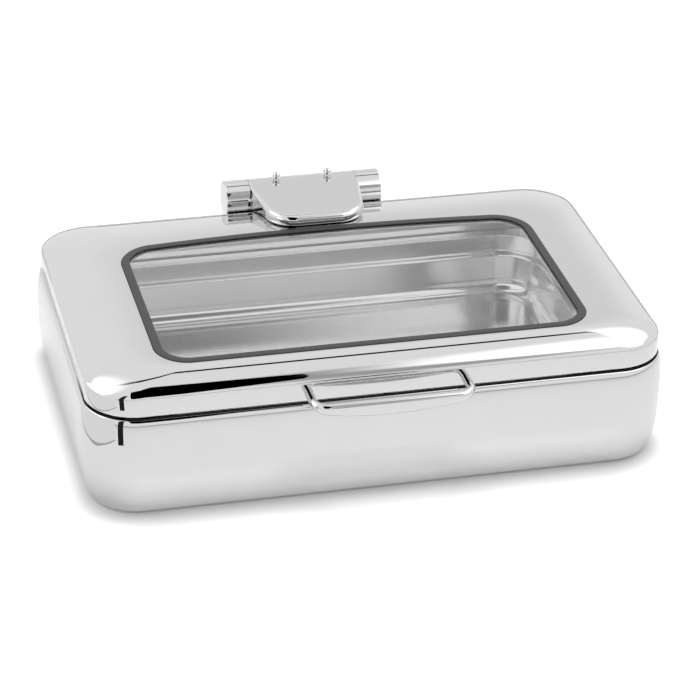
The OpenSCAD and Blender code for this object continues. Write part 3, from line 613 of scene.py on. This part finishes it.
def tongue_plan(tongue):
    """Draws the plan in the open piece: a round nose and sides that widen to the barrel."""
    nose_end, shortest_side = 0.05, 0.02
    bpy.ops.transform.resize(value=(TONGUE_W, TONGUE_REAR - TONGUE_Y, 1))
    bpy.ops.transform.translate(value=(0, (TONGUE_REAR + TONGUE_Y) / 2, 0))
    pick(tongue, "VERT", lambda v: v.co.y < HINGE_Y - nose_end)
    round_corners(NOSE_R, 28)
    for side in (-1, 1):
        pick(tongue, "EDGE", lambda edge: abs(edge.verts[0].co.x - edge.verts[1].co.x) < SAME
            and edge.verts[0].co.x * side > 0 and edge.calc_length() > shortest_side)
        bpy.ops.mesh.subdivide(number_cuts=11)
    widest = 2 * (KNUCKLE_X - 2 * HAIR) / TONGUE_W
    for v in bmesh.from_edit_mesh(tongue.data).verts:
        v.co.x *= 1 + (widest - 1) * (1 - nose_share(v.co.y))
    bmesh.update_edit_mesh(tongue.data)
    pick(tongue, "FACE", lambda face: True)
    return [v.co.copy() for v in bmesh.from_edit_mesh(tongue.data).faces[:][0].verts]


def make_hinge_tongue():
    """The cast tongue on the lid: its plan is stepped through its rounded foot and top edges."""
    barrel_bore = 0.013
    tongue = begin("hinge_tongue_polished", bpy.ops.mesh.primitive_plane_add, size=1)
    plan = tongue_plan(tongue)
    inward = [inward_way(plan, i) for i in range(len(plan))]
    rings = [tongue_foot(plan, inward, a) for a in reversed(quarter(8))]
    rings += [tongue_edge(plan, inward, a) for a in quarter(10)]
    place_ring(tongue, plan, rings[0])
    for before, after in zip(rings, rings[1:]):
        extrude(0, 0, 0)
        place_ring(tongue, before, after)
    face_out()
    leave_edit()
    weld_on(tongue, hinge_ring("tongue barrel", -KNUCKLE_X, KNUCKLE_X, bore=barrel_bore))
    return settle(tongue, "lid", "hinge_tongue", slot="polished_steel", crisp=True)


def make_dome_screws():
    """Two ball-headed screws: a ball on a short neck, modelled once and copied."""
    neck_share, neck_flare, flare_h, neck_h = 0.88, 1.25, 0.0015, 0.0082
    screw = begin("dome_screws_polished", bpy.ops.mesh.primitive_uv_sphere_add, segments=40, ring_count=24,
        radius=BALL_R, location=(SCREW_X, HINGE_Y - SCREW_FORWARD, HINGE_Z + BARREL_R + BALL_R))
    pick(screw, "FACE", lambda face: face.calc_center_median().z < -neck_share * BALL_R)
    extrude(0, 0, -flare_h)
    bpy.ops.transform.resize(value=(neck_flare, neck_flare, 0))
    extrude(0, 0, -neck_h)
    face_out()
    leave_edit()
    bpy.ops.object.duplicate(linked=False)
    twin = bpy.context.object
    twin.location.x = -SCREW_X
    join(screw, twin)
    leave_edit()
    return settle(screw, "lid", "dome_screws", slot="polished_steel", angle=45)


def make_bracket_nuts():
    """Four cap nuts: a hexagon with a domed end, modelled once and copied."""
    edge_r, dome_share = 0.0004, 0.75
    start = PLATE_Y + PLATE_T + HAIR
    middle = (NUT_X, start + NUT_H / 2, NUT_LOW_Z)
    nut = begin("bracket_nuts_polished", bpy.ops.mesh.primitive_cylinder_add, vertices=6, radius=NUT_R,
        depth=NUT_H, rotation=(math.pi / 2, math.pi / 6, 0), location=middle)
    pick(nut, "FACE", lambda face: face.normal.z < -0.5)
    round_edges(edge_r, 2)
    leave_edit()
    apply_place()
    dome = begin("nut dome", bpy.ops.mesh.primitive_uv_sphere_add, segments=32, ring_count=16,
        radius=NUT_DOME_R, rotation=(math.pi / 2, 0, 0),
        location=(NUT_X, start + dome_share * NUT_H, NUT_LOW_Z))
    bpy.ops.mesh.bisect(plane_co=middle, plane_no=(0, 1, 0), clear_inner=True, use_fill=True)
    leave_edit()
    weld_on(nut, dome)
    copies = []
    for x, z in ((-NUT_X, NUT_LOW_Z), (NUT_X, NUT_HIGH_Z), (-NUT_X, NUT_HIGH_Z)):
        pick_only(nut)
        bpy.ops.object.duplicate(linked=False)
        twin = bpy.context.object
        twin.location = (x - NUT_X, 0, z - NUT_LOW_Z)
        copies.append(twin)
    join(nut, *copies)
    leave_edit()
    return settle(nut, "base", "bracket_nuts", slot="polished_steel")


base_shell = make_base_shell()
food_pan = make_food_pan()
lid_shell = make_lid_shell()
window_gasket = make_window_gasket()
handle = make_handle()
friction_rings = make_friction_rings()
end_caps = make_end_caps()
hinge_bracket = make_hinge_bracket()
hinge_tongue = make_hinge_tongue()
dome_screws = make_dome_screws()
bracket_nuts = make_bracket_nuts()


# Values in materials

def math_step(nodes, links, operation, first, second, third=0.0):
    """One sum on sockets or numbers."""
    step = nodes.new("ShaderNodeMath")
    step.operation = operation
    for socket, value in zip(step.inputs, (first, second, third)):
        if isinstance(value, float):
            socket.default_value = value
        else:
            links.new(value, socket)
    return step


def times_plus(nodes, links, first, second, third=0.0):
    """first * second + third; each a socket or a number."""
    return math_step(nodes, links, "MULTIPLY_ADD", first, second, third).outputs["Value"]


def most(nodes, links, first, second):
    return math_step(nodes, links, "MAXIMUM", first, second).outputs["Value"]


def any_ray(nodes, links, *kinds):
    """1 for rays of the given kinds, 0 for all others."""
    path = nodes.new("ShaderNodeLightPath")
    found = path.outputs[kinds[0]]
    for kind in kinds[1:]:
        found = most(nodes, links, found, path.outputs[kind])
    return found


def mirrored_only(nodes, links):
    """1 for rays that metal mirrors, 0 for rays that the glass bends."""
    rays = nodes.new("ShaderNodeLightPath").outputs
    only = math_step(nodes, links, "SUBTRACT", rays["Is Glossy Ray"], rays["Is Transmission Ray"])
    only.use_clamp = True
    return only.outputs["Value"]


def between(nodes, links, value, none, full, kind="LINEAR"):
    """Goes from 0 to 1 as the value goes from none to full."""
    ramp = nodes.new("ShaderNodeMapRange")
    ramp.interpolation_type = kind
    ramp.inputs["From Min"].default_value = none
    ramp.inputs["From Max"].default_value = full
    links.new(value, ramp.inputs["Value"])
    return ramp.outputs["Result"]


def along(nodes, links, place, axis):
    parts = nodes.new("ShaderNodeSeparateXYZ")
    links.new(place, parts.inputs[0])
    return parts.outputs[axis]


def corner_distance(nodes, links, place, narrower=0.0):
    """Distance from the middles of the body's round corners: CORNER_R on the seam outline, less inside it."""
    steps = (("ABSOLUTE", None), ("SUBTRACT", (BODY_W / 2 - CORNER_R - narrower, BODY_D / 2 - CORNER_R, 1)),
        ("MAXIMUM", (0, 0, 0)), ("LENGTH", None))
    for operation, value in steps:
        step = nodes.new("ShaderNodeVectorMath")
        step.operation = operation
        links.new(place, step.inputs[0])
        if value:
            step.inputs[1].default_value = value
        place = step.outputs["Value" if operation == "LENGTH" else "Vector"]
    return place


# Finishes

def finish(name, color, metallic, roughness, mottle, grain, rough_spread):
    """A surface whose colour and roughness wander a little over the piece."""
    material = bpy.data.materials.new(name)
    material.use_nodes = True
    nodes, links = material.node_tree.nodes, material.node_tree.links
    surface = nodes["Principled BSDF"]
    surface.inputs["Metallic"].default_value = metallic
    place = nodes.new("ShaderNodeTexCoord")
    cloud = nodes.new("ShaderNodeTexNoise")
    cloud.inputs["Scale"].default_value = grain
    cloud.inputs["Detail"].default_value = 3.0
    links.new(place.outputs["Object"], cloud.inputs["Vector"])
    tint = nodes.new("ShaderNodeValToRGB")
    for stop, position, level in zip(tint.color_ramp.elements, (0.3, 0.7), (1 - mottle, 1 + mottle)):
        stop.position = position
        stop.color = (*[min(1, c * level) for c in color], 1)
    links.new(cloud.outputs["Fac"], tint.inputs["Fac"])
    links.new(tint.outputs["Color"], surface.inputs["Base Color"])
    gloss = nodes.new("ShaderNodeMapRange")
    gloss.inputs["To Min"].default_value = max(0, roughness - rough_spread)
    gloss.inputs["To Max"].default_value = roughness + rough_spread
    links.new(cloud.outputs["Fac"], gloss.inputs["Value"])
    links.new(gloss.outputs["Result"], surface.inputs["Roughness"])
    return material


def paint_seam_shade(material, find_share):
    """Paints the seam's deep shadow into a finish along the front, darkest where the share is 1."""
    mix_share, mix_first, mix_second, mix_result = 0, 6, 7, 2
    # Colour of the painted seam shade
    shadow = (0.02, 0.02, 0.02, 1)
    nodes, links = material.node_tree.nodes, material.node_tree.links
    surface = nodes["Principled BSDF"]
    tint = surface.inputs["Base Color"].links[0].from_socket
    place = nodes.new("ShaderNodeTexCoord").outputs["Object"]
    shade = nodes.new("ShaderNodeMix")
    shade.data_type = "RGBA"
    shade.inputs[mix_second].default_value = shadow
    front = between(nodes, links, along(nodes, links, place, "Y"), -BODY_D / 2 + 2 * CORNER_R,
        -BODY_D / 2 + CORNER_R)
    share = times_plus(nodes, links, find_share(nodes, links, place), front)
    links.new(share, shade.inputs[mix_share])
    links.new(tint, shade.inputs[mix_first])
    links.new(shade.outputs[mix_result], surface.inputs["Base Color"])
    return material


def hem_seam_shade_share(nodes, links, place):
    """Is 1 on the top of the base's hem, where the seam's shade is painted on the base."""
    fade_from, fade_to = 0.0004, 0.0001
    height = along(nodes, links, place, "Z")
    return between(nodes, links, height, SHELL_TOP - fade_from, SHELL_TOP - fade_to)


def lid_seam_shade_share(nodes, links, place):
    """Is 1 on the lowest half millimetre of the lid's outside, but not under its lip: where the seam's shade
    is painted on the lid.
    """
    fade_from, fade_to, lip_from, lip_to = 0.0006, 0.0002, 0.0010, 0.0008
    height = along(nodes, links, place, "Z")
    low = between(nodes, links, height, LID_Z + fade_from, LID_Z + fade_to)
    distance = corner_distance(nodes, links, place)
    outer = between(nodes, links, distance, CORNER_R - lip_from, CORNER_R - lip_to)
    return times_plus(nodes, links, low, outer)


def flange_seam_shade_share(nodes, links, place):
    """Rises from 0 to 1 over the last millimetres before the frame's outer edge, where the seam's shade is
    painted on the frame.
    """
    fade_from, fade_to = 0.0034, 0.0016
    distance = corner_distance(nodes, links, place)
    return between(nodes, links, distance, CORNER_R - fade_from, CORNER_R - fade_to)


def mirror_finish(name):
    return finish(name, (0.684, 0.684, 0.684), 1.0, 0.02, mottle=0.008, grain=40, rough_spread=0.006)


def satin_finish(name):
    return finish(name, (0.764, 0.764, 0.764), 1.0, 0.14, mottle=0.015, grain=120, rough_spread=0.012)


def window_glass():
    """Clear toughened glass that lets light, and what the metal mirrors, straight through."""
    material = finish("clear_window_glass", (0.976, 0.976, 0.976), 0.0, 0.01, mottle=0.004, grain=30,
        rough_spread=0.004)
    nodes, links = material.node_tree.nodes, material.node_tree.links
    surface = nodes["Principled BSDF"]
    surface.inputs["Transmission Weight"].default_value = 1.0
    surface.inputs["IOR"].default_value = 1.5
    surface.inputs["Specular IOR Level"].default_value = 0.3
    open_way = nodes.new("ShaderNodeBsdfTransparent")
    open_way.inputs["Color"].default_value = (0.966, 0.966, 0.966, 1)
    pane = nodes.new("ShaderNodeMixShader")
    lit = any_ray(nodes, links, "Is Shadow Ray", "Is Diffuse Ray")
    links.new(most(nodes, links, lit, mirrored_only(nodes, links)), pane.inputs["Fac"])
    links.new(surface.outputs["BSDF"], pane.inputs[1])
    links.new(open_way.outputs["BSDF"], pane.inputs[2])
    links.new(pane.outputs["Shader"], nodes["Material Output"].inputs["Surface"])
    return material


mirror_steel = mirror_finish("mirror_polished_steel")
# The lid, base and frame finishes carry painted seam shade along the front
lid_steel = paint_seam_shade(mirror_finish("mirror_lid_steel_painted_seam_shade"), lid_seam_shade_share)
base_steel = paint_seam_shade(mirror_finish("mirror_base_steel_painted_seam_shade"), hem_seam_shade_share)
satin_steel = satin_finish("satin_pan_steel")
frame_steel = paint_seam_shade(satin_finish("satin_frame_steel_painted_seam_shade"), flange_seam_shade_share)
induction_steel = finish("matt_induction_steel", (0.45, 0.45, 0.46), 1.0, 0.5,
    mottle=0.05, grain=400, rough_spread=0.08)
fastener_steel = finish("plain_fastener_steel", (0.60, 0.605, 0.61), 1.0, 0.3,
    mottle=0.04, grain=500, rough_spread=0.06)
gasket_rubber = finish("grey_gasket_rubber", (0.033, 0.033, 0.033), 0.0, 0.5,
    mottle=0.12, grain=900, rough_spread=0.06)
bumper_silicone = finish("dark_bumper_silicone", (0.09, 0.09, 0.09), 0.0, 0.6,
    mottle=0.1, grain=900, rough_spread=0.06)
bearing_bronze = finish("sintered_bearing_bronze", (0.55, 0.40, 0.22), 1.0, 0.4,
    mottle=0.1, grain=1500, rough_spread=0.08)
damper_plastic = finish("moulded_damper_plastic", (0.10, 0.10, 0.11), 0.0, 0.5,
    mottle=0.1, grain=800, rough_spread=0.06)
glass = window_glass()

PIECE_FINISH = [
    (base_shell, base_steel), (lid_shell, lid_steel),
    (food_pan, satin_steel), (window_gasket, gasket_rubber),
]
MIRROR_PIECES = (handle, *friction_rings, *end_caps, hinge_bracket, hinge_tongue, dome_screws, bracket_nuts)
PIECE_FINISH += [(piece, mirror_steel) for piece in MIRROR_PIECES]
CAD_FINISH = {
    "support_frame": frame_steel, "window_keeper": satin_steel, "backing_plate": satin_steel,
    "induction_plate": induction_steel, "lid_bumpers": bumper_silicone, "glass_pane": glass,
    "bearing_plugs": bearing_bronze, "damper_cartridge": damper_plastic,
    "keeper_studs": fastener_steel, "keeper_nuts": fastener_steel, "handle_screws": fastener_steel,
    "handle_washers": fastener_steel, "bracket_studs": fastener_steel, "hinge_shaft": fastener_steel,
    "disc_springs": fastener_steel, "lock_nuts": fastener_steel, "tongue_screws": fastener_steel,
}
PIECE_FINISH += [(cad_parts[name], material) for name, material in CAD_FINISH.items()]
for piece, material in PIECE_FINISH:
    piece.data.materials.clear()
    piece.data.materials.append(material)


# Studio

def make_world():
    """White wherever it is seen, mirrored or seen through the glass, and dimmer as light on matt faces."""
    matt_light = 0.40
    world = bpy.data.worlds.new("studio")
    bpy.context.scene.world = world
    world.use_nodes = True
    nodes, links = world.node_tree.nodes, world.node_tree.links
    light = nodes["Background"]
    light.inputs["Color"].default_value = (1, 1, 1, 1)
    seen = any_ray(nodes, links, "Is Camera Ray", "Is Glossy Ray", "Is Transmission Ray")
    matt = any_ray(nodes, links, "Is Diffuse Ray")
    links.new(times_plus(nodes, links, matt, matt_light, seen), light.inputs["Strength"])


def make_floor():
    """A matt floor with a glow that makes it white; the glow fades close to the dish, where the lamps' shadow
    lies, partly painting that shadow's fall-off, and the glow that the metal mirrors is raised there, painted
    light over the shadow in the steel.
    """
    floor_w, under_dish = 12, 0.025
    far_glow, wide_shade, wide_reach, close_shade, close_reach = 0.69, -0.14, 0.6, -0.52, 0.065
    # Glow that only the metal mirrors, raised close to the dish: painted light over the shadow there as the
    # steel mirrors it
    far_mirrored, close_painted_mirror_light, mirrored_reach = 0.02, 0.18, 0.085
    floor = begin("studio_floor", bpy.ops.mesh.primitive_plane_add, size=floor_w)
    leave_edit()
    material = bpy.data.materials.new("pale_floor")
    material.use_nodes = True
    nodes, links = material.node_tree.nodes, material.node_tree.links
    nodes.remove(nodes["Principled BSDF"])
    matt = nodes.new("ShaderNodeBsdfDiffuse")
    matt.inputs["Color"].default_value = (0.8, 0.8, 0.8, 1)
    glow = nodes.new("ShaderNodeEmission")
    place = nodes.new("ShaderNodeTexCoord").outputs["Object"]
    distance = corner_distance(nodes, links, place, narrower=under_dish)

    def close_share(reach):
        return between(nodes, links, distance, CORNER_R + reach, CORNER_R, "SMOOTHSTEP")

    # The seen glow fades towards the dish, shaping the fall-off of the lamps' shadow there: partly painted
    # shadow
    straight = times_plus(nodes, links, close_share(wide_reach), wide_shade, far_glow)
    straight = times_plus(nodes, links, close_share(close_reach), close_shade, straight)
    mirrored = times_plus(nodes, links, close_share(mirrored_reach), close_painted_mirror_light, far_mirrored)
    seen = any_ray(nodes, links, "Is Camera Ray", "Is Transmission Ray")
    level = times_plus(nodes, links, seen, straight)
    level = times_plus(nodes, links, mirrored_only(nodes, links), mirrored, level)
    links.new(level, glow.inputs["Strength"])
    both = nodes.new("ShaderNodeAddShader")
    links.new(matt.outputs[0], both.inputs[0])
    links.new(glow.outputs[0], both.inputs[1])
    links.new(both.outputs[0], nodes["Material Output"].inputs["Surface"])
    floor.data.materials.append(material)


def make_lamp(name, place, size, power):
    """A round soft lamp aimed at the middle of the dish, which no metal mirrors."""
    aim = Vector((0, 0, 0.05))
    data = bpy.data.lights.new(name, "AREA")
    data.shape = "DISK"
    data.size = size
    data.energy = power
    lamp = bpy.data.objects.new(name, data)
    bpy.context.scene.collection.objects.link(lamp)
    lamp.location = place
    lamp.rotation_euler = (aim - Vector(place)).to_track_quat("-Z", "Y").to_euler()
    lamp.visible_glossy = False
    lamp.visible_transmission = False


def make_card(name, corners, level, middle=None, reach=None, edge_share=0.55, in_pan=False):
    """A card that only metal mirrors, outside or in the pan under the glass; middle and reach fade it."""
    card = begin(name, bpy.ops.mesh.primitive_circle_add, vertices=len(corners), fill_type="NGON")
    for v, corner in zip(bmesh.from_edit_mesh(card.data).verts, corners):
        v.co = corner
    bmesh.update_edit_mesh(card.data)
    leave_edit()
    material = bpy.data.materials.new(name + "_face")
    material.use_nodes = True
    nodes, links = material.node_tree.nodes, material.node_tree.links
    nodes.remove(nodes["Principled BSDF"])
    glow = nodes.new("ShaderNodeEmission")
    glow.inputs["Strength"].default_value = level
    depth = nodes.new("ShaderNodeLightPath").outputs["Transmission Depth"]
    shown = "GREATER_THAN" if in_pan else "LESS_THAN"
    share = math_step(nodes, links, shown, depth, 0.5).outputs["Value"]
    if reach:
        place = nodes.new("ShaderNodeTexCoord")
        centre = nodes.new("ShaderNodeMapping")
        centre.vector_type = "TEXTURE"
        centre.inputs["Location"].default_value = middle
        centre.inputs["Scale"].default_value = reach
        links.new(place.outputs["Object"], centre.inputs["Vector"])
        fade = nodes.new("ShaderNodeTexGradient")
        fade.gradient_type = "SPHERICAL"
        links.new(centre.outputs["Vector"], fade.inputs["Vector"])
        edge = between(nodes, links, fade.outputs["Fac"], 0.0, edge_share, "SMOOTHSTEP")
        share = times_plus(nodes, links, share, edge)
    open_way = nodes.new("ShaderNodeBsdfTransparent")
    soft = nodes.new("ShaderNodeMixShader")
    links.new(share, soft.inputs["Fac"])
    links.new(open_way.outputs[0], soft.inputs[1])
    links.new(glow.outputs[0], soft.inputs[2])
    links.new(soft.outputs[0], nodes["Material Output"].inputs["Surface"])
    card.data.materials.append(material)
    card.visible_camera = card.visible_diffuse = card.visible_transmission = card.visible_shadow = False


def leaning(x, up, behind=0.0):
    """A point on the leaning wall in front of the dish, or behind that wall."""
    wall_y, wall_z, run, rise = -2.0, 0.62, 1.2, 1.63
    return (x, wall_y + run * up - behind, wall_z + rise * up)


def leaning_card(x_0, up_0, x_1, up_1, behind):
    return [leaning(x, up, behind) for x, up in ((x_0, up_0), (x_1, up_0), (x_1, up_1), (x_0, up_1))]


def level_card(x_0, y_0, x_1, y_1, z):
    return [(x_0, y_0, z), (x_1, y_0, z), (x_1, y_1, z), (x_0, y_1, z)]


def upright_card(x_0, y_0, x_1, y_1, z_0, z_1):
    return [(x_0, y_0, z_0), (x_1, y_1, z_0), (x_1, y_1, z_1), (x_0, y_0, z_1)]


def make_front_cards():
    """The dark and grey walls that the lid's front edge mirrors, and the dark line above them."""
    dark_outline = ((-0.82, 0.03), (0.05, 0.0), (0.26, 0.42), (0.32, 0.86), (0.1, 1.01), (-0.08, 1.16),
        (-0.82, 1.16))
    grey_behind = 0.04
    make_card("dark_wall", [leaning(x, up) for x, up in dark_outline], 0.0)
    make_card("grey_wall", leaning_card(-0.1, 0.0, 1.0, 1.35, grey_behind), 0.45,
        middle=leaning(0.47, 0.55, grey_behind), reach=(0.5, 1.3, 1.3))
    make_card("dark_gap", level_card(-1.6, 0.66, 1.9, 0.86, 2.05), 0.02)


def make_pale_cards():
    """Softboxes above both sides for the round edges, and pale cards behind and beside the dish."""
    make_card("white_right", level_card(0.1, -1.8, 2.3, 0.3, 1.30), 2.0,
        middle=(1.2, -0.75, 1.30), reach=(1.05, 1.0, 1), edge_share=0.35)
    make_card("white_corner", level_card(0.5, -0.5, 2.1, 1.3, 1.32), 1.8,
        middle=(1.3, 0.4, 1.32), reach=(0.75, 0.85, 1), edge_share=0.4)
    make_card("white_left", level_card(-2.2, -0.5, -0.3, 1.6, 1.3), 2.0,
        middle=(-1.2, 0.55, 1.3), reach=(0.9, 0.95, 1))
    make_card("pale_back", upright_card(-0.6, 2.0, 2.1, 2.0, 0.4, 2.2), 0.87,
        middle=(0.75, 2.0, 1.28), reach=(1.15, 1, 0.85), edge_share=0.6)
    make_card("pale_left", upright_card(-0.41, -0.30, -0.41, 0.30, 0.0, 0.15), 0.95)
    make_card("white_side", upright_card(-0.43, -0.20, -0.43, 0.0, 0.16, 0.36), 1.9)


def make_small_cards():
    """Dark and bright cards for the pan's floor and wall, the base's foot and the left front corner; the
    glowing strip under the lid's rear is a painted glint on the pan's step, and the dark strip at the pale
    card's foot is painted shadow.
    """
    pan_behind = 0.08
    make_card("dark_low", upright_card(0.25, -2.1, 0.6, -2.1, 0.15, 0.6), 0.05,
        middle=(0.41, -2.1, 0.36), reach=(0.15, 1, 0.22), edge_share=0.4)
    make_card("pan_grey", leaning_card(-1.4, 0.25, 0.8, 1.3, pan_behind), 0.0,
        middle=leaning(-0.25, 0.75, pan_behind), reach=(0.95, 0.91, 0.91), edge_share=0.28, in_pan=True)
    # A glowing strip under the lid's rear, seen only in the pan: a painted glint on the pan's step, where the
    # lid's underside is dark
    make_card("pan_painted_glint", level_card(-0.2, 0.108, 0.2, 0.128, 0.1388), 1.0, in_pan=True)
    # A dark strip at the foot of the pale card: painted shadow where the card meets the floor
    make_card("painted_foot_shadow", upright_card(-0.409, -0.30, -0.409, 0.25, 0.0, 0.006), 0.5)
    make_card("dark_strip", upright_card(-0.372, -0.296, -0.345, -0.318, 0.0, 0.34), 0.02)


def make_studio():
    """White all round, with dark walls in front of the dish and softboxes above for the steel to mirror."""
    make_world()
    make_floor()
    make_lamp("key_light", (0.05, 0.15, 2.2), 1.1, 36)
    make_lamp("fill_left", (-0.9, -0.9, 1.8), 1.5, 7)
    make_lamp("fill_right", (1.1, -0.3, 1.6), 1.5, 6)
    make_front_cards()
    make_pale_cards()
    make_small_cards()


def make_camera():
    """The photograph's view: a long lens, a little to the left of the middle and above the lid."""
    sensor_mm, focal_pixels, picture_pixels = 36.0, 2863.716, 700
    place, turn_deg, height_deg, roll_deg = (-0.63652, -2.51144, 1.48628), -14.407, 28.898, -1.455
    data = bpy.data.cameras.new("photo_camera")
    data.sensor_width = sensor_mm
    data.lens = sensor_mm * focal_pixels / picture_pixels
    data.clip_end = 50
    camera = bpy.data.objects.new("photo_camera", data)
    bpy.context.scene.collection.objects.link(camera)
    a, e, roll = (math.radians(v) for v in (turn_deg, height_deg, roll_deg))
    back = Vector((math.sin(a) * math.cos(e), -math.cos(a) * math.cos(e), math.sin(e)))
    right = Vector((math.cos(a), math.sin(a), 0))
    up = back.cross(right)
    c, s = math.cos(roll), math.sin(roll)
    turn = Matrix((right * c - up * s, right * s + up * c, back)).transposed()
    camera.matrix_world = Matrix.Translation(place) @ turn.to_4x4()
    bpy.context.scene.camera = camera


make_studio()
make_camera()
bpy.context.scene.view_settings.view_transform = "Standard"
bpy.context.scene.cycles.max_bounces = 16
bpy.context.scene.cycles.glossy_bounces = 8
